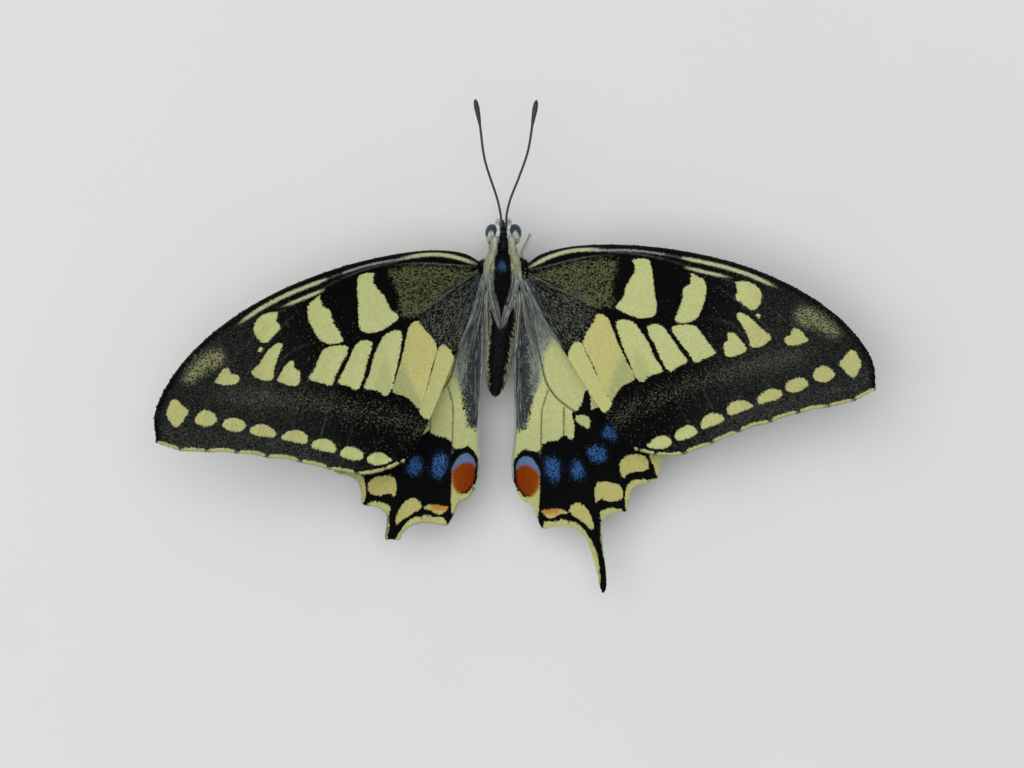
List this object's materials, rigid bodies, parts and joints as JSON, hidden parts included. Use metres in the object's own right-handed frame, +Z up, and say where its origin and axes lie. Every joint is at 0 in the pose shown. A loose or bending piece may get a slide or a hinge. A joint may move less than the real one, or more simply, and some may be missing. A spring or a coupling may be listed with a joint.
{
  "type": "swallowtail butterfly",
  "caption": "Old World swallowtail butterfly, life size, as a still museum model that stands on its feet with its wings spread flat and the left tail broken short.",
  "frame": {"origin": "middle of the whole insect's bounding box seen from above, on the floor it stands on", "axes": "+X to the insect's right, +Y towards its head, +Z up"},
  "size_m": [0.0784, 0.0542, 0.0152],
  "materials": {
    "wing_scales": "matt yellow and blue-black wing scales",
    "body_hair": "black and cream hair and scales",
    "cuticle": "satin black cuticle",
    "leg": "pale yellow scales over dark cuticle",
    "eye": "dark glossy compound eye"
  },
  "bodies": {
    "root": {"head": "body_hair", "eye_L": "eye", "eye_R": "eye", "palp_L": "body_hair", "palp_R": "body_hair", "proboscis": "cuticle", "antenna_shaft_L": "cuticle", "antenna_club_L": "cuticle", "antenna_shaft_R": "cuticle", "antenna_club_R": "cuticle", "thorax": "body_hair", "abdomen_front": "body_hair", "abdomen_middle": "body_hair", "abdomen_tip": "body_hair", "forewing_L": "wing_scales", "forewing_R": "wing_scales", "hindwing_L": "wing_scales", "hindwing_R": "wing_scales", "tail_R": "wing_scales", "leg_front_L_femur": "leg", "leg_front_L_tibia": "leg", "leg_front_L_tarsus": "leg", "leg_front_R_femur": "leg", "leg_front_R_tibia": "leg", "leg_front_R_tarsus": "leg", "leg_middle_L_femur": "leg", "leg_middle_L_tibia": "leg", "leg_middle_L_tarsus": "leg", "leg_middle_R_femur": "leg", "leg_middle_R_tibia": "leg", "leg_middle_R_tarsus": "leg", "leg_hind_L_femur": "leg", "leg_hind_L_tibia": "leg", "leg_hind_L_tarsus": "leg", "leg_hind_R_femur": "leg", "leg_hind_R_tibia": "leg", "leg_hind_R_tarsus": "leg"}
  },
  "joints": []
}
